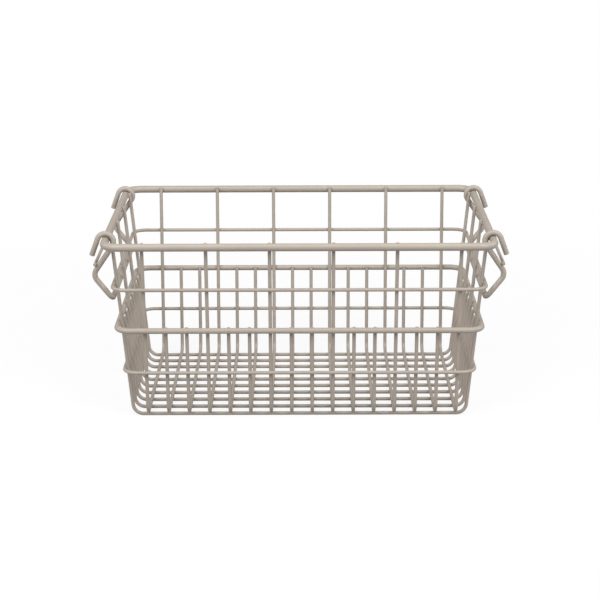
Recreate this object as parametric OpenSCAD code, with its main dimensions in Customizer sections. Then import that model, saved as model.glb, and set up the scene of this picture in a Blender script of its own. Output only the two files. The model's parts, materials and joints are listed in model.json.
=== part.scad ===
// Wire locker basket: an open basket of bent, spot-welded wire with a swing handle at each end.
// Origin at the middle of the footprint on the floor, +X along the length, +Z up, millimetres.

/* [Basket] */
// Height from the floor to the top of the rim
basket_h = 145.5; // [130:0.5:170]
// Outside length at the floor, over the end wires
base_l = 262; // [256:1:280]
// Outside width at the floor, over the side wires
base_w = 159; // [156:1:176]
// Outward lean of the two end walls, in degrees
end_lean = 5.3; // [3:0.1:8]
// Outward lean of the front and back walls, in degrees
side_lean = 5.9; // [3:0.1:8]

/* [Mesh wires] */
// Diameter of the bent mesh wires
wire_d = 2.8; // [2.5:0.1:3.4]
// Distance from one mesh wire to the next
pitch = 16; // [14:0.5:16]
// Wires that run front to back under the basket
cross_count = 16; // [10:3:16]
// Wires that run end to end under the basket
long_count = 10; // [4:3:10]
// Every how many wires one reaches the rim
full_every = 3; // [1, 3]
// How far the row of cross wires sits off centre along the length
cross_shift = 1.8; // [0:0.1:2]
// Radius of the bend from floor to wall, at the middle of the wire
foot_bend_r = 8; // [6:0.5:10]
// How far a wire's cut end stays below the top of the ring that it is welded to
end_drop = 0.9; // [0.5:0.1:1.5]
// How deep a spot weld presses two wires into each other
weld_set = 0.25; // [0.1:0.05:0.3]

/* [Rings] */
// Diameter of the rim bar
rim_d = 6; // [5:0.5:7]
// Diameter of the middle ring
middle_d = 4.5; // [3.5:0.5:5]
// Diameter of the upper and lower rings
thin_d = 2.8; // [2.5:0.1:3.4]
// Height of the upper ring
upper_z = 107.8; // [100:0.1:115]
// Height of the middle ring
middle_z = 74.7; // [68:0.1:82]
// Height of the lower ring
lower_z = 39.3; // [32:0.1:46]
// Corner radius of the rim, at the middle of the bar
rim_corner_r = 12; // [11:0.5:14]
// Corner radius of the three rings, at the middle of the wire
ring_corner_r = 11; // [9:0.5:12]

/* [Handles] */
// Diameter of the bent handle wire
bail_d = 4.2; // [3.2:0.1:4.3]
// Diameter of the straight bar across each handle
bar_d = 2.5; // [2:0.1:3]
// Distance between the middles of a handle's two hooks
hook_span = 152; // [152:0.5:155]
// Radius of the hook round the rim, at the middle of the wire
hook_r = 6.2; // [5.8:0.1:7]
// How far the hook's middle lies below the rim's middle
hook_low = 0.7; // [0:0.1:0.8]
// Outward lean of the hook's free end, in degrees
tail_lean = 20.5; // [5:0.5:25]
// Length of the hook's straight free end
tail_l = 13.6; // [6:0.2:15]
// How far the elbow's corner lies outboard of the rim's middle
elbow_out = 10.5; // [8:0.1:12]
// How far the elbow's corner lies below the rim's middle
elbow_low = 27; // [24:0.1:30]
// Radius of the elbow, at the middle of the wire
elbow_r = 7; // [5:0.5:8]
// How far the grip lies inboard of the rim's middle
grip_in = 4.1; // [2:0.1:4.6]
// How far the grip lies below the rim's middle
grip_low = 45.8; // [42:0.1:50]
// Radius of the grip's two corners, at the middle of the wire
grip_corner_r = 5; // [4:0.5:8]
// Distance along the leg from the elbow's corner up to the cross bar
bar_up = 8.6; // [6:0.1:12]
// How far the cross bar runs on past the middle of each leg
bar_over = 3.5; // [2.5:0.1:5]
// How deep the cross bar is welded into the legs
bar_set = 0.2; // [0.1:0.05:0.3]

/* [Hidden] */
$fn = 32;
coat = "#b1a699";

rim_z = basket_h - rim_d / 2;
long_z = wire_d / 2;
cross_z = long_z + wire_d - weld_set;

// A straight part reaches this far into the bend beside it, and is a hair thinner than the bend
lap = 0.1;
slim = 0.994;

// Half distances between the axes of two opposite walls' wires, at a height
function end_x(z) = base_l / 2 - wire_d / 2 + z * tan(end_lean);
function side_y(z) = base_w / 2 - wire_d / 2 + z * tan(side_lean);
// The same for a ring of bar diameter d, which lies outside the wires
function ring_x(z, d) = end_x(z) + (wire_d / 2 + d / 2 - weld_set) / cos(end_lean);
function ring_y(z, d) = side_y(z) + (wire_d / 2 + d / 2 - weld_set) / cos(side_lean);

// Where a wire ends: just below the top of the rim, or of the middle ring
function top_z(i) = (i % full_every == 0) ? rim_z + rim_d / 2 - end_drop : middle_z + middle_d / 2 - end_drop;
function cross_x(i) = (i - (cross_count - 1) / 2) * pitch + cross_shift;
function long_y(i) = (i - (long_count - 1) / 2) * pitch;

// Handle, in the plane of one hook: [inboard, up] from the middle of the rim's end bar
rim_x = ring_x(rim_z, rim_d);
hook_y = hook_span / 2;
hook_c = [0, -hook_low];
elbow = [-elbow_out, -elbow_low];
grip = [grip_in, -grip_low];
elbow_far = norm(elbow - hook_c);
leg_lean = atan2(hook_c.x - elbow.x, hook_c.y - elbow.y) + asin(hook_r / elbow_far);
tail_dir = [-sin(tail_lean), -cos(tail_lean)];
leg_dir = [-sin(leg_lean), -cos(leg_lean)];
shin_dir = (grip - elbow) / norm(grip - elbow);
leg_turn = atan2(leg_dir.y, leg_dir.x);
shin_turn = atan2(shin_dir.y, shin_dir.x);
elbow_cut = elbow_r * tan((shin_turn - leg_turn) / 2);
tail_top = hook_c + hook_r * [-cos(tail_lean), sin(tail_lean)];
leg_top = hook_c + hook_r * [cos(leg_lean), -sin(leg_lean)];
elbow_c = elbow - elbow_cut * leg_dir + elbow_r * [-leg_dir.y, leg_dir.x];
bar_c = elbow - bar_up * leg_dir + (bail_d / 2 + bar_d / 2 - bar_set) * [leg_dir.y, -leg_dir.x];

function two(n) = str(n < 10 ? "0" : "", n);
CROSS = [for (i = [1:cross_count]) str("cross_wire_", two(i))];
LONG = [for (i = [1:long_count]) str("long_wire_", two(i))];
RINGS = ["rim", "upper_ring", "middle_ring", "lower_ring"];
HANDLES = ["left_handle_bail", "left_handle_crossbar", "right_handle_bail", "right_handle_crossbar"];

// Straight round bar between two points of the XY plane
module rod(from, to, d) {
    run = to - from;
    translate([from.x, from.y, 0])
        rotate([0, 0, atan2(run.y, run.x)])
            rotate([0, 90, 0])
                cylinder(h = norm(run), d = d);
}

// Straight part of a bent wire, lapped into the bend at its start, and at its end unless that is free
module straight(from, to, d, end_lap = lap) {
    dir = (to - from) / norm(to - from);
    rod(from - lap * dir, to + end_lap * dir, slim * d);
}

// Bent wire in the XY plane, round centre c, from one angle to another
module bend(c, r, d, from, to) {
    translate([c.x, c.y, 0])
        rotate([0, 0, from])
            rotate_extrude(angle = to - from)
                translate([r, 0])
                    circle(d = d);
}

// One mesh wire, flat in the XZ plane: down a wall, across the floor and up the other wall
module mesh_wire(foot, lean, floor_z, top) {
    c = [foot + (floor_z + foot_bend_r) * tan(lean) - foot_bend_r / cos(lean), floor_z + foot_bend_r];
    wall_foot = c + foot_bend_r * [cos(lean), -sin(lean)];
    wall_top = [foot + top * tan(lean), top];
    rotate([90, 0, 0]) {
        straight([-c.x, floor_z], [c.x, floor_z], wire_d);
        for (side = [0, 1])
            mirror([side, 0, 0]) {
                bend(c, foot_bend_r, wire_d, -90, -lean);
                straight(wall_foot, wall_top, wire_d, 0);
            }
    }
}

module cross_wire(i) {
    color(coat)
        translate([cross_x(i), 0, 0])
            rotate([0, 0, 90])
                mesh_wire(side_y(0), side_lean, cross_z, top_z(i));
}

module long_wire(i) {
    color(coat)
        translate([0, long_y(i), 0])
            mesh_wire(end_x(0), end_lean, long_z, top_z(i));
}

// Closed ring with rounded corners, welded round the outside of the mesh wires
module ring(z, d, corner_r) {
    x = ring_x(z, d);
    y = ring_y(z, d);
    color(coat)
        translate([0, 0, z])
            for (turn = [0, 1])
                rotate([0, 0, 180 * turn]) {
                    straight([corner_r - x, -y], [x - corner_r, -y], d);
                    bend([x - corner_r, corner_r - y], corner_r, d, -90, 0);
                    straight([x, corner_r - y], [x, y - corner_r], d);
                    bend([x - corner_r, y - corner_r], corner_r, d, 0, 90);
                }
}

module rim() {
    ring(rim_z, rim_d, rim_corner_r);
}

module upper_ring() {
    ring(upper_z, thin_d, ring_corner_r);
}

module middle_ring() {
    ring(middle_z, middle_d, ring_corner_r);
}

module lower_ring() {
    ring(lower_z, thin_d, ring_corner_r);
}

// One half of a handle wire: free end, hook over the rim, leg, elbow, shin and corner
module bail_half() {
    translate([0, -hook_y, 0])
        rotate([90, 0, 0]) {
            straight(tail_top, tail_top + tail_l * tail_dir, bail_d, 0);
            bend(hook_c, hook_r, bail_d, -leg_lean, 180 - tail_lean);
            straight(leg_top, elbow - elbow_cut * leg_dir, bail_d);
            bend(elbow_c, elbow_r, bail_d, leg_turn - 90, shin_turn - 90);
            straight(elbow + elbow_cut * shin_dir, grip - grip_corner_r * shin_dir, bail_d);
        }
    translate([grip.x, 0, grip.y])
        rotate([0, -shin_turn, 0])
            bend([-grip_corner_r, grip_corner_r - hook_y], grip_corner_r, bail_d, -90, 0);
}

// Whole handle wire, hung on the rim's left end bar
module bail() {
    color(coat)
        translate([-rim_x, 0, rim_z]) {
            for (side = [0, 1])
                mirror([0, side, 0])
                    bail_half();
            translate([grip.x, 0, grip.y])
                straight([0, grip_corner_r - hook_y], [0, hook_y - grip_corner_r], bail_d);
        }
}

// Straight bar welded across the outside of the left handle's legs
module crossbar() {
    color(coat)
        translate([bar_c.x - rim_x, 0, bar_c.y + rim_z])
            rod([0, -hook_y - bar_over], [0, hook_y + bar_over], bar_d);
}

rim();
upper_ring();
middle_ring();
lower_ring();
for (i = [0:cross_count - 1]) cross_wire(i);
for (i = [0:long_count - 1]) long_wire(i);
bail();  // left_handle_bail
crossbar();  // left_handle_crossbar
mirror([1, 0, 0]) bail();  // right_handle_bail
mirror([1, 0, 0]) crossbar();  // right_handle_crossbar
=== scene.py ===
"""Dresses the wire locker basket: powder coat, weld beads, rounded wire ends, floor, light and camera."""

import json
import math

import bmesh
import bpy
from bpy.props import FloatProperty, FloatVectorProperty, IntProperty
from mathutils import Matrix, Vector


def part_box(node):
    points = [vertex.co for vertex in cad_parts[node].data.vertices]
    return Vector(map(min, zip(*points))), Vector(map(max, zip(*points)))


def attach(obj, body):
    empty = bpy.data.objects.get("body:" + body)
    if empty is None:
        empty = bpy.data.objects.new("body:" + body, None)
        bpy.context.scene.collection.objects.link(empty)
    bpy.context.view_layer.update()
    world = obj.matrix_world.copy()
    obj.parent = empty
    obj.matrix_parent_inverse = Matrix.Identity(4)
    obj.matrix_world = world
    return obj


bl_info = {
    "name": "Wire locker basket",
    "version": (1, 0, 0),
    "blender": (4, 5, 0),
    "location": "View3D > Sidebar > Basket",
    "description": "Powder coat, weld beads, rounded wire ends and a studio for a wire locker basket",
    "category": "Object",
}

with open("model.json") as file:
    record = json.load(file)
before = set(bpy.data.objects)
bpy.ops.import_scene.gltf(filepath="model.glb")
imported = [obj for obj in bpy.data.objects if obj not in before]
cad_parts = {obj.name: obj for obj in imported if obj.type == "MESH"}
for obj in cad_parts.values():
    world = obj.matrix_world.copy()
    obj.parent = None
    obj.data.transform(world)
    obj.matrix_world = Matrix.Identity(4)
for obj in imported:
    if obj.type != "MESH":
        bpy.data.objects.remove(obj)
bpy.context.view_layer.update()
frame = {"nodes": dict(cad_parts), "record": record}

MM = 0.001
# Cosine of the largest angle between two faces of one flat end
FLAT = 0.9999
RINGS = ("rim", "upper_ring", "middle_ring", "lower_ring")
CROSS_WIRES = sorted(n for n in frame["nodes"] if n.startswith("cross_wire_"))
LONG_WIRES = sorted(n for n in frame["nodes"] if n.startswith("long_wire_"))
HANDLES = ("left_handle", "right_handle")
MOUNTS = {mount["name"]: mount for mount in frame["record"]["mounts"]}


def middle(node):
    """Middle of a CAD node's box."""
    low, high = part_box(node)
    return (low + high) / 2


def size_of(node):
    """Size of a CAD node's box."""
    low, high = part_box(node)
    return high - low


def leg_y(handle):
    """How far the middle of each leg of a handle is from the middle of the basket."""
    wire_r = MOUNTS[handle.replace("handle", "grip")]["dims"]["r_mm"] * MM
    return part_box(handle + "_bail")[1].y - wire_r


class BasketCoat(bpy.types.PropertyGroup):
    """Powder coat on all wires."""

    colour: FloatVectorProperty(
        name="Coat colour",
        description="Warm grey of the powder coat",
        subtype="COLOR",
        size=3,
        min=0.0,
        max=1.0,
        default=(0.443, 0.384, 0.329),
    )
    roughness: FloatProperty(
        name="Roughness", description="Mean roughness of the satin coat", default=0.36, min=0.05, max=1.0
    )
    peel: FloatProperty(
        name="Peel", description="Distance between the coat's small waves", default=0.9 * MM, unit="LENGTH"
    )
    # Strength of the painted contact shade that darkens the coat where the hooks ride on the rim
    contact_shade_strength: FloatProperty(
        name="Wear", description="How strongly the coat is rubbed under the hooks", default=0.5, min=0.0, max=1.0
    )


class BasketWelds(bpy.types.PropertyGroup):
    """Beads of fused metal at the spot welds."""

    width: FloatProperty(
        name="Bead width", description="Width of a bead under the coat", default=2.6 * MM, unit="LENGTH"
    )
    height: FloatProperty(
        name="Bead height", description="Height of a bead between two wires", default=1.3 * MM, unit="LENGTH"
    )
    seed: IntProperty(name="Seed", description="Seed of the beads' small differences", default=7)


class BasketEnds(bpy.types.PropertyGroup):
    """Coat that rounds off the cut ends of the wires."""

    edge: FloatProperty(
        name="Edge", description="1 is a dome, lower is a flatter disc with a rounded edge", default=0.68, min=0.2, max=1.0
    )
    rise: FloatProperty(name="Rise", description="Height of the dome, in wire radii", default=0.34)
    sink: FloatProperty(name="Sink", description="How far the dome is sunk into the wire, in wire radii", default=0.13)
    spread: FloatProperty(name="Spread", description="Width of the dome over that of the wire", default=1.02)


class BasketStage(bpy.types.PropertyGroup):
    """Floor, lights and camera."""

    lens: FloatProperty(name="Lens", description="Focal length on a 36 mm sensor", default=100.84)
    camera_place: FloatVectorProperty(
        name="Camera place",
        description="Where the camera stands",
        subtype="TRANSLATION",
        unit="LENGTH",
        size=3,
        default=(0.002961, -1.308809, 0.466513),
    )
    camera_drop: FloatProperty(
        name="Camera drop", description="How far the view looks down", default=0.2926, subtype="ANGLE"
    )
    camera_turn: FloatProperty(
        name="Camera turn", description="How far the view turns left", default=0.0020, subtype="ANGLE"
    )
    camera_roll: FloatProperty(
        name="Camera roll", description="How far the camera is rolled", default=-0.0034, subtype="ANGLE"
    )
    world_level: FloatProperty(name="World level", description="Strength of the light from all round", default=0.054)
    top_watts: FloatProperty(name="Top power", description="Power of the soft box above", default=3.78, unit="POWER")
    front_left_watts: FloatProperty(
        name="Front left power", description="Power of the soft box in front at the left", default=20.2, unit="POWER"
    )
    front_right_watts: FloatProperty(
        name="Front right power", description="Power of the soft box in front at the right", default=18.7, unit="POWER"
    )
    left_watts: FloatProperty(name="Left power", description="Power of the soft box at the left", default=5.4, unit="POWER")
    right_watts: FloatProperty(name="Right power", description="Power of the soft box at the right", default=7.5, unit="POWER")
    floor_tone: FloatProperty(name="Floor tone", description="Share of the light that the floor throws back", default=0.35)
    mirrored_white: FloatProperty(
        name="Mirrored white", description="Share of the white background that reflections show", default=0.4, min=0.0, max=1.0
    )


def new_material(name):
    """Material with an empty node tree, and the tree's nodes and a link maker."""
    material = bpy.data.materials.new(name)
    material.use_nodes = True
    nodes = material.node_tree.nodes
    nodes.clear()
    return material, nodes, material.node_tree.links.new


def calc(nodes, link, operation, *values):
    """Result of a math node that is fed by sockets or numbers."""
    node = nodes.new("ShaderNodeMath")
    node.operation = operation
    for slot, value in zip(node.inputs, values):
        if isinstance(value, (int, float)):
            slot.default_value = value
        else:
            link(value, slot)
    return node.outputs["Value"]


def ramp(nodes, link, value, low, high, to_low=0.0, to_high=1.0):
    """Value mapped smoothly from the range low to high onto another one, and kept inside it."""
    node = nodes.new("ShaderNodeMapRange")
    node.interpolation_type = "SMOOTHSTEP"
    node.inputs["From Min"].default_value = low
    node.inputs["From Max"].default_value = high
    node.inputs["To Min"].default_value = to_low
    node.inputs["To Max"].default_value = to_high
    link(value, node.inputs["Value"])
    return node.outputs["Result"]


def noise(nodes, link, vector, grain, detail=2.0):
    """Noise texture whose spots are about the given distance apart."""
    node = nodes.new("ShaderNodeTexNoise")
    node.inputs["Scale"].default_value = 1.0 / grain
    node.inputs["Detail"].default_value = detail
    link(vector, node.inputs["Vector"])
    return node.outputs["Fac"]


def hook_place():
    """Where a hook rides on the rim, with X and Y made positive."""
    joint = frame["record"]["behaviour"]["joints"][0]
    rim_x, _, rim_z = joint["pos_m"]
    return Vector((abs(rim_x), leg_y("left_handle"), rim_z))


def powder_coat(settings):
    """Satin powder coat with faint clouds and orange peel, rubbed smoother and darkened with painted contact shade
    under the hooks, and worn underneath.
    """
    material, nodes, link = new_material("powder_coat")
    out = nodes.new("ShaderNodeOutputMaterial")
    coat = nodes.new("ShaderNodeBsdfPrincipled")
    place = nodes.new("ShaderNodeTexCoord").outputs["Object"]
    colour = Vector(settings.colour)
    clouds = noise(nodes, link, place, 45 * MM, 3.0)
    patches = noise(nodes, link, place, 6 * MM, 3.0)
    waves = noise(nodes, link, place, settings.peel)
    grit = noise(nodes, link, place, settings.peel / 4)

    tint = nodes.new("ShaderNodeValToRGB")
    tint.color_ramp.elements[0].position = 0.3
    tint.color_ramp.elements[0].color = (*(colour * 0.94), 1.0)
    tint.color_ramp.elements[1].position = 0.7
    tint.color_ramp.elements[1].color = (*(colour * 1.05), 1.0)
    link(calc(nodes, link, "MULTIPLY_ADD", grit, 0.25, calc(nodes, link, "MULTIPLY", clouds, 0.75)), tint.inputs["Fac"])

    # Rubbed smoother where the hooks ride on the rim, and darkened there as painted contact shade between hook and rim
    mirrored = nodes.new("ShaderNodeVectorMath")
    mirrored.operation = "ABSOLUTE"
    link(place, mirrored.inputs[0])
    apart = nodes.new("ShaderNodeVectorMath")
    apart.operation = "SUBTRACT"
    apart.inputs[1].default_value = hook_place()
    link(mirrored.outputs["Vector"], apart.inputs[0])
    far = nodes.new("ShaderNodeVectorMath")
    far.operation = "LENGTH"
    link(apart.outputs["Vector"], far.inputs[0])
    near_hook = ramp(nodes, link, far.outputs["Value"], 3.2 * MM, 5.0 * MM, 1.0, 0.0)
    rubbed_and_shaded = calc(nodes, link, "MULTIPLY", near_hook, ramp(nodes, link, patches, 0.35, 0.6))

    # Worn through in spots along the lowest line of the foot wires
    axes = nodes.new("ShaderNodeSeparateXYZ")
    link(place, axes.inputs["Vector"])
    lowest = ramp(nodes, link, axes.outputs["Z"], 0.04 * MM, 0.2 * MM, 1.0, 0.0)
    worn = calc(nodes, link, "MULTIPLY", lowest, ramp(nodes, link, patches, 0.5, 0.6))

    # Painted shade: the coat's colour drops to 0.72 of itself where the hooks meet the rim, standing in for their
    # contact shade
    contact_shaded = nodes.new("ShaderNodeMix")
    contact_shaded.data_type = "RGBA"
    contact_shaded.inputs["B"].default_value = (*(colour * 0.72), 1.0)
    link(calc(nodes, link, "MULTIPLY", rubbed_and_shaded, settings.contact_shade_strength), contact_shaded.inputs["Factor"])
    link(tint.outputs["Color"], contact_shaded.inputs["A"])
    bare = nodes.new("ShaderNodeMix")
    bare.data_type = "RGBA"
    bare.inputs["B"].default_value = (0.30, 0.29, 0.28, 1.0)
    link(worn, bare.inputs["Factor"])
    link(contact_shaded.outputs["Result"], bare.inputs["A"])
    link(bare.outputs["Result"], coat.inputs["Base Color"])
    link(worn, coat.inputs["Metallic"])

    satin = ramp(nodes, link, patches, 0.3, 0.7, settings.roughness - 0.04, settings.roughness + 0.05)
    link(calc(nodes, link, "MULTIPLY_ADD", rubbed_and_shaded, -0.12, satin), coat.inputs["Roughness"])

    bump = nodes.new("ShaderNodeBump")
    bump.inputs["Strength"].default_value = 0.2
    bump.inputs["Distance"].default_value = 0.03 * MM
    link(calc(nodes, link, "MULTIPLY_ADD", grit, 0.2, waves), bump.inputs["Height"])
    link(bump.outputs["Normal"], coat.inputs["Normal"])
    link(coat.outputs["BSDF"], out.inputs["Surface"])
    return material


def weld_places():
    """Middle and upright direction of every spot weld of the mesh and the rings."""
    wire_d = size_of(LONG_WIRES[0]).y
    floor_z = (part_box(LONG_WIRES[0])[0].z + wire_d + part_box(CROSS_WIRES[0])[0].z) / 2
    places = []
    for cross in CROSS_WIRES:
        for long in LONG_WIRES:
            places.append((Vector((middle(cross).x, middle(long).y, floor_z)), Vector((0, 0, 1))))
    for ring in RINGS:
        low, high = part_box(ring)
        bar_d = high.z - low.z
        z = (low.z + high.z) / 2
        for side, edge in ((-1, low), (1, high)):
            for cross in CROSS_WIRES:
                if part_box(cross)[1].z > z:
                    places.append((Vector((middle(cross).x, edge.y - side * bar_d, z)), Vector((0, side, 0))))
            for long in LONG_WIRES:
                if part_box(long)[1].z > z:
                    places.append((Vector((edge.x - side * bar_d, middle(long).y, z)), Vector((side, 0, 0))))
    return places


def bar_weld_places(handle):
    """Middle and upright direction of the two welds between a handle's cross bar and its legs."""
    bar = middle(handle + "_crossbar")
    places = []
    for y in (-leg_y(handle), leg_y(handle)):
        on_bar = Vector((bar.x, y, bar.z))
        _, on_leg, _, _ = frame["nodes"][handle + "_bail"].closest_point_on_mesh(on_bar)
        places.append((on_leg, (on_bar - on_leg).normalized()))
    return places


def cut_ends(node):
    """Middle, outward direction and radius of every flat round end of a CAD wire."""
    faces = bmesh.new()
    faces.from_mesh(frame["nodes"][node].data)
    bmesh.ops.remove_doubles(faces, verts=faces.verts, dist=0.0001 * MM)
    faces.normal_update()
    left = set(faces.faces)
    ends = []
    while left:
        first = left.pop()
        patch, rim = [first], [first]
        while rim:
            for edge in rim.pop().edges:
                for face in edge.link_faces:
                    if face in left and face.normal.dot(first.normal) > FLAT:
                        left.remove(face)
                        patch.append(face)
                        rim.append(face)
        corners = {corner for face in patch for corner in face.verts}
        centre = sum((corner.co for corner in corners), Vector()) / len(corners)
        radii = [(corner.co - centre).length for corner in corners]
        disc = math.pi * max(radii) ** 2
        if min(radii) > 0.97 * max(radii) and sum(face.calc_area() for face in patch) > 0.85 * disc:
            ends.append((centre, first.normal.copy(), max(radii)))
    faces.free()
    return sorted(ends, key=lambda end: tuple(end[0]))


def points_object(name, places):
    """Mesh of bare points, each with the direction and the size of what is set on it."""
    mesh = bpy.data.meshes.new(name)
    mesh.from_pydata([place[0] for place in places], [], [])
    upright = mesh.attributes.new("upright", "FLOAT_VECTOR", "POINT")
    for item, place in zip(upright.data, places):
        item.vector = place[1]
    if len(places[0]) > 2:
        size = mesh.attributes.new("size", "FLOAT", "POINT")
        for item, place in zip(size.data, places):
            item.value = place[2]
    piece = bpy.data.objects.new(name, mesh)
    bpy.context.scene.collection.objects.link(piece)
    return piece


def bead_tree(material):
    """Geometry tree that sets a flattened bead on every point."""
    tree = bpy.data.node_groups.new("weld_beads", "GeometryNodeTree")
    face = tree.interface
    face.new_socket("Geometry", in_out="INPUT", socket_type="NodeSocketGeometry")
    face.new_socket("Width", in_out="INPUT", socket_type="NodeSocketFloat")
    face.new_socket("Height", in_out="INPUT", socket_type="NodeSocketFloat")
    face.new_socket("Seed", in_out="INPUT", socket_type="NodeSocketInt")
    face.new_socket("Geometry", in_out="OUTPUT", socket_type="NodeSocketGeometry")
    nodes = tree.nodes
    link = tree.links.new
    given = nodes.new("NodeGroupInput")
    result = nodes.new("NodeGroupOutput")
    bead = nodes.new("GeometryNodeMeshIcoSphere")
    bead.inputs["Radius"].default_value = 0.5
    bead.inputs["Subdivisions"].default_value = 2
    smooth = nodes.new("GeometryNodeSetShadeSmooth")
    size = nodes.new("ShaderNodeCombineXYZ")
    upright = nodes.new("GeometryNodeInputNamedAttribute")
    upright.data_type = "FLOAT_VECTOR"
    upright.inputs["Name"].default_value = "upright"
    turn = nodes.new("FunctionNodeAlignRotationToVector")
    turn.axis = "Z"
    vary = nodes.new("FunctionNodeRandomValue")
    vary.data_type = "FLOAT"
    vary.inputs[2].default_value = 0.85
    vary.inputs[3].default_value = 1.15
    grow = nodes.new("ShaderNodeVectorMath")
    grow.operation = "SCALE"
    spread = nodes.new("GeometryNodeInstanceOnPoints")
    real = nodes.new("GeometryNodeRealizeInstances")
    paint = nodes.new("GeometryNodeSetMaterial")
    paint.inputs["Material"].default_value = material
    link(given.outputs["Geometry"], spread.inputs["Points"])
    link(bead.outputs["Mesh"], smooth.inputs["Geometry"])
    link(smooth.outputs["Geometry"], spread.inputs["Instance"])
    link(given.outputs["Width"], size.inputs["X"])
    link(given.outputs["Width"], size.inputs["Y"])
    link(given.outputs["Height"], size.inputs["Z"])
    link(given.outputs["Seed"], vary.inputs["Seed"])
    link(size.outputs["Vector"], grow.inputs[0])
    link(vary.outputs[1], grow.inputs["Scale"])
    link(grow.outputs["Vector"], spread.inputs["Scale"])
    link(upright.outputs["Attribute"], turn.inputs["Vector"])
    link(turn.outputs["Rotation"], spread.inputs["Rotation"])
    link(spread.outputs["Instances"], real.inputs["Geometry"])
    link(real.outputs["Geometry"], paint.inputs["Geometry"])
    link(paint.outputs["Geometry"], result.inputs["Geometry"])
    return tree


def end_tree(material):
    """Geometry tree that sets a low dome with a rounded edge on every point, as wide as the point's size."""
    tree = bpy.data.node_groups.new("wire_ends", "GeometryNodeTree")
    face = tree.interface
    face.new_socket("Geometry", in_out="INPUT", socket_type="NodeSocketGeometry")
    face.new_socket("Edge", in_out="INPUT", socket_type="NodeSocketFloat")
    face.new_socket("Rise", in_out="INPUT", socket_type="NodeSocketFloat")
    face.new_socket("Sink", in_out="INPUT", socket_type="NodeSocketFloat")
    face.new_socket("Spread", in_out="INPUT", socket_type="NodeSocketFloat")
    face.new_socket("Geometry", in_out="OUTPUT", socket_type="NodeSocketGeometry")
    nodes = tree.nodes
    link = tree.links.new

    given = nodes.new("NodeGroupInput")
    result = nodes.new("NodeGroupOutput")
    ball = nodes.new("GeometryNodeMeshUVSphere")
    ball.inputs["Segments"].default_value = 20
    ball.inputs["Rings"].default_value = 12
    place = nodes.new("GeometryNodeInputPosition")
    axes = nodes.new("ShaderNodeSeparateXYZ")
    flat = nodes.new("ShaderNodeCombineXYZ")
    reach = nodes.new("ShaderNodeVectorMath")
    reach.operation = "LENGTH"
    wide = nodes.new("ShaderNodeVectorMath")
    wide.operation = "SCALE"
    lift = nodes.new("ShaderNodeCombineXYZ")
    shape = nodes.new("ShaderNodeVectorMath")
    shape.operation = "ADD"
    mould = nodes.new("GeometryNodeSetPosition")
    smooth = nodes.new("GeometryNodeSetShadeSmooth")
    upright = nodes.new("GeometryNodeInputNamedAttribute")
    upright.data_type = "FLOAT_VECTOR"
    upright.inputs["Name"].default_value = "upright"
    turn = nodes.new("FunctionNodeAlignRotationToVector")
    turn.axis = "Z"
    size = nodes.new("GeometryNodeInputNamedAttribute")
    size.data_type = "FLOAT"
    size.inputs["Name"].default_value = "size"
    grow = nodes.new("ShaderNodeCombineXYZ")
    spread = nodes.new("GeometryNodeInstanceOnPoints")
    real = nodes.new("GeometryNodeRealizeInstances")
    paint = nodes.new("GeometryNodeSetMaterial")
    paint.inputs["Material"].default_value = material
    link(place.outputs["Position"], axes.inputs["Vector"])
    link(axes.outputs["X"], flat.inputs["X"])
    link(axes.outputs["Y"], flat.inputs["Y"])
    link(flat.outputs["Vector"], reach.inputs[0])
    # A ball swells to a rounded disc when its width and height are raised to a power below 1
    away = calc(nodes, link, "MAXIMUM", reach.outputs["Value"], 0.001)
    link(flat.outputs["Vector"], wide.inputs[0])
    link(calc(nodes, link, "POWER", away, calc(nodes, link, "SUBTRACT", given.outputs["Edge"], 1.0)), wide.inputs["Scale"])
    height = calc(nodes, link, "POWER", calc(nodes, link, "ABSOLUTE", axes.outputs["Z"]), given.outputs["Edge"])
    signed = calc(nodes, link, "MULTIPLY", height, calc(nodes, link, "SIGN", axes.outputs["Z"]))
    raised = calc(nodes, link, "MULTIPLY", signed, given.outputs["Rise"])
    link(calc(nodes, link, "SUBTRACT", raised, given.outputs["Sink"]), lift.inputs["Z"])
    link(wide.outputs["Vector"], shape.inputs[0])
    link(lift.outputs["Vector"], shape.inputs[1])
    link(ball.outputs["Mesh"], mould.inputs["Geometry"])
    link(shape.outputs["Vector"], mould.inputs["Position"])
    link(mould.outputs["Geometry"], smooth.inputs["Geometry"])
    link(smooth.outputs["Geometry"], spread.inputs["Instance"])
    link(given.outputs["Geometry"], spread.inputs["Points"])
    link(upright.outputs["Attribute"], turn.inputs["Vector"])
    link(turn.outputs["Rotation"], spread.inputs["Rotation"])
    broad = calc(nodes, link, "MULTIPLY", size.outputs["Attribute"], given.outputs["Spread"])
    link(broad, grow.inputs["X"])
    link(broad, grow.inputs["Y"])
    link(size.outputs["Attribute"], grow.inputs["Z"])
    link(grow.outputs["Vector"], spread.inputs["Scale"])
    link(spread.outputs["Instances"], real.inputs["Geometry"])
    link(real.outputs["Geometry"], paint.inputs["Geometry"])
    link(paint.outputs["Geometry"], result.inputs["Geometry"])
    return tree


def run_tree(piece, tree, values):
    """Puts the tree on the piece with its values, and keeps the result as a plain mesh."""
    modifier = piece.modifiers.new(tree.name, "NODES")
    modifier.node_group = tree
    for item in tree.interface.items_tree:
        if item.in_out == "INPUT" and item.name in values:
            modifier[item.identifier] = values[item.name]
    bpy.context.view_layer.update()
    depsgraph = bpy.context.evaluated_depsgraph_get()
    made = bpy.data.meshes.new_from_object(piece.evaluated_get(depsgraph))
    piece.modifiers.remove(modifier)
    piece.data = made
    return piece


class BASKET_OT_coat(bpy.types.Operator):
    """Paint every wire with the powder coat"""

    bl_idname = "basket.coat"
    bl_label = "Coat the wires"

    def execute(self, context):
        material = powder_coat(context.scene.basket_coat)
        for node in frame["nodes"].values():
            node.data.materials.clear()
            node.data.materials.append(material)
        return {"FINISHED"}


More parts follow.
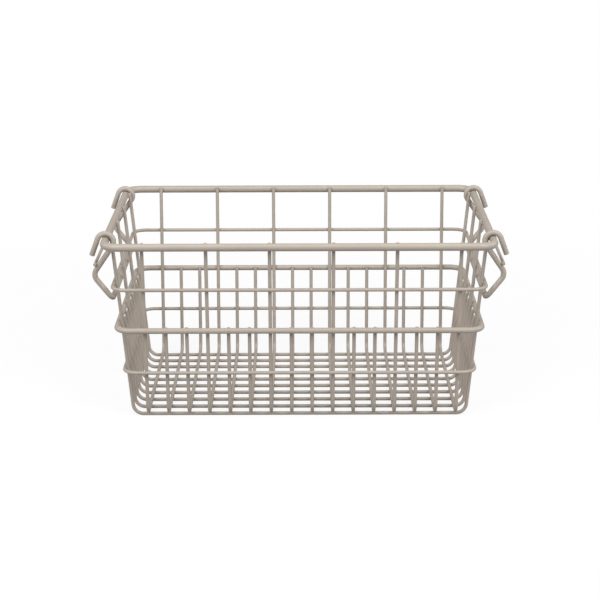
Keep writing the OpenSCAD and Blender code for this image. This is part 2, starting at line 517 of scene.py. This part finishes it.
class BASKET_OT_welds(bpy.types.Operator):
    """Add a bead of fused metal at every spot weld"""

    bl_idname = "basket.welds"
    bl_label = "Add the weld beads"

    def execute(self, context):
        settings = context.scene.basket_welds
        tree = bead_tree(bpy.data.materials["powder_coat"])
        values = {"Width": settings.width, "Height": settings.height, "Seed": settings.seed}
        beads = [("weld_beads", "basket", weld_places())]
        beads += [(handle + "_welds", handle, bar_weld_places(handle)) for handle in HANDLES]
        for name, body, places in beads:
            piece = run_tree(points_object(name, places), tree, values)
            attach(piece, body)
        return {"FINISHED"}


class BASKET_OT_ends(bpy.types.Operator):
    """Round off every cut end of the wires"""

    bl_idname = "basket.ends"
    bl_label = "Round the wire ends"

    def execute(self, context):
        settings = context.scene.basket_ends
        tree = end_tree(bpy.data.materials["powder_coat"])
        values = {"Edge": settings.edge, "Rise": settings.rise, "Sink": settings.sink, "Spread": settings.spread}
        groups = [("wire_ends", "basket", CROSS_WIRES + LONG_WIRES)]
        groups += [(handle + "_ends", handle, [handle + "_bail", handle + "_crossbar"]) for handle in HANDLES]
        for name, body, wires in groups:
            ends = [end for wire in wires for end in cut_ends(wire)]
            if len(ends) != 2 * len(wires):
                raise RuntimeError(f"{name}: {len(ends)} cut ends on {len(wires)} wires")
            piece = run_tree(points_object(name, ends), tree, values)
            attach(piece, body)
        return {"FINISHED"}


class BASKET_OT_stage(bpy.types.Operator):
    """Set up the floor, the lights and the camera"""

    bl_idname = "basket.stage"
    bl_label = "Set the stage"

    def execute(self, context):
        settings = context.scene.basket_stage
        add_floor(settings.floor_tone, settings.mirrored_white)
        add_world(settings.world_level, settings.mirrored_white)
        add_lamp("top_box", (0.0, -0.35, 1.2), 0.7, settings.top_watts)
        add_lamp("front_left_box", (-0.95, -1.1, 1.25), 1.1, settings.front_left_watts)
        add_lamp("front_right_box", (0.95, -1.1, 1.25), 1.1, settings.front_right_watts)
        add_lamp("left_box", (-1.6, 0.1, 0.8), 1.0, settings.left_watts)
        add_lamp("right_box", (1.6, 0.1, 0.8), 1.0, settings.right_watts)
        add_camera(settings)
        context.scene.view_settings.view_transform = "Standard"
        return {"FINISHED"}


def see_white(nodes, link, mirrored):
    """Factor that is 1 for camera and glass rays, which see the white background, and a share for glossy rays."""
    rays = nodes.new("ShaderNodeLightPath").outputs
    glossy = calc(nodes, link, "MULTIPLY", rays["Is Glossy Ray"], mirrored)
    other = calc(nodes, link, "MAXIMUM", glossy, rays["Is Transmission Ray"])
    return calc(nodes, link, "MAXIMUM", rays["Is Camera Ray"], other)


def add_floor(tone, mirrored):
    """Pale floor that keeps a soft shadow near the basket and is white further away."""
    half = 6.0
    mesh = bpy.data.meshes.new("floor")
    corners = [(-half, -half, 0), (half, -half, 0), (half, half, 0), (-half, half, 0)]
    mesh.from_pydata(corners, [], [(0, 1, 2, 3)])
    floor = bpy.data.objects.new("floor", mesh)
    bpy.context.scene.collection.objects.link(floor)
    material, nodes, link = new_material("pale_floor")
    out = nodes.new("ShaderNodeOutputMaterial")
    matte = nodes.new("ShaderNodeBsdfDiffuse")
    seen = see_white(nodes, link, mirrored)
    pale = nodes.new("ShaderNodeMapRange")
    pale.inputs["To Min"].default_value = tone
    pale.inputs["To Max"].default_value = 1.0
    glow = nodes.new("ShaderNodeEmission")
    glow.inputs["Color"].default_value = (1.0, 1.0, 1.0, 1.0)
    glow.inputs["Strength"].default_value = 1.0
    place = nodes.new("ShaderNodeTexCoord")
    away = nodes.new("ShaderNodeVectorMath")
    away.operation = "LENGTH"
    fade = nodes.new("ShaderNodeMapRange")
    fade.inputs["From Min"].default_value = 0.22
    fade.inputs["From Max"].default_value = 0.6
    fade.inputs["To Min"].default_value = 0.85
    fade.inputs["To Max"].default_value = 1.0
    share = nodes.new("ShaderNodeMath")
    share.operation = "MULTIPLY"
    blend = nodes.new("ShaderNodeMixShader")
    link(place.outputs["Object"], away.inputs[0])
    link(away.outputs["Value"], fade.inputs["Value"])
    link(seen, pale.inputs["Value"])
    link(pale.outputs["Result"], matte.inputs["Color"])
    link(seen, share.inputs[0])
    link(fade.outputs["Result"], share.inputs[1])
    link(share.outputs["Value"], blend.inputs["Fac"])
    link(matte.outputs["BSDF"], blend.inputs[1])
    link(glow.outputs["Emission"], blend.inputs[2])
    link(blend.outputs["Shader"], out.inputs["Surface"])
    mesh.materials.append(material)


def add_world(level, mirrored):
    """White world that lights the basket evenly at the given level."""
    world = bpy.data.worlds.new("studio")
    bpy.context.scene.world = world
    world.use_nodes = True
    nodes = world.node_tree.nodes
    link = world.node_tree.links.new
    nodes.clear()
    out = nodes.new("ShaderNodeOutputWorld")
    light = nodes.new("ShaderNodeBackground")
    light.inputs["Strength"].default_value = level
    white = nodes.new("ShaderNodeBackground")
    white.inputs["Color"].default_value = (1.0, 1.0, 1.0, 1.0)
    light.inputs["Color"].default_value = (1.0, 1.0, 1.0, 1.0)
    blend = nodes.new("ShaderNodeMixShader")
    link(see_white(nodes, link, mirrored), blend.inputs["Fac"])
    link(light.outputs["Background"], blend.inputs[1])
    link(white.outputs["Background"], blend.inputs[2])
    link(blend.outputs["Shader"], out.inputs["Surface"])


def add_lamp(name, place, size, watts):
    """Square soft box at a place, aimed at the middle of the basket."""
    data = bpy.data.lights.new(name, "AREA")
    data.size = size
    data.energy = watts
    lamp = bpy.data.objects.new(name, data)
    bpy.context.scene.collection.objects.link(lamp)
    aim = Vector((0.0, 0.0, 0.07)) - Vector(place)
    lamp.matrix_world = Matrix.Translation(place) @ aim.to_track_quat("-Z", "Y").to_matrix().to_4x4()


def add_camera(settings):
    """Camera at the photograph's place and angle."""
    data = bpy.data.cameras.new("camera")
    data.sensor_width = 36.0
    data.lens = settings.lens
    data.clip_start = 0.05
    data.clip_end = 50.0
    camera = bpy.data.objects.new("camera", data)
    bpy.context.scene.collection.objects.link(camera)
    aim = (
        Matrix.Rotation(settings.camera_turn, 4, "Z")
        @ Matrix.Rotation(math.pi / 2 - settings.camera_drop, 4, "X")
        @ Matrix.Rotation(settings.camera_roll, 4, "Z")
    )
    camera.matrix_world = Matrix.Translation(settings.camera_place) @ aim
    bpy.context.scene.camera = camera


class BASKET_PT_panel(bpy.types.Panel):
    """Sidebar panel that lists the steps and their settings"""

    bl_idname = "BASKET_PT_panel"
    bl_label = "Wire locker basket"
    bl_space_type = "VIEW_3D"
    bl_region_type = "UI"
    bl_category = "Basket"

    def draw(self, context):
        for step in STEPS:
            self.layout.operator(step.bl_idname)
        for name, group in GROUPS.items():
            box = self.layout.box()
            box.label(text=group.__doc__)
            for key in group.__annotations__:
                box.prop(getattr(context.scene, name), key)


GROUPS = {
    "basket_coat": BasketCoat,
    "basket_welds": BasketWelds,
    "basket_ends": BasketEnds,
    "basket_stage": BasketStage,
}
STEPS = (BASKET_OT_coat, BASKET_OT_welds, BASKET_OT_ends, BASKET_OT_stage)


def register():
    for cls in (*GROUPS.values(), *STEPS, BASKET_PT_panel):
        bpy.utils.register_class(cls)
    for name, group in GROUPS.items():
        setattr(bpy.types.Scene, name, bpy.props.PointerProperty(type=group))


def unregister():
    for name in GROUPS:
        delattr(bpy.types.Scene, name)
    for cls in reversed((*GROUPS.values(), *STEPS, BASKET_PT_panel)):
        bpy.utils.unregister_class(cls)


def main():
    register()
    for step in STEPS:
        group, name = step.bl_idname.split(".")
        getattr(getattr(bpy.ops, group), name)()


if __name__ == "__main__":
    main()
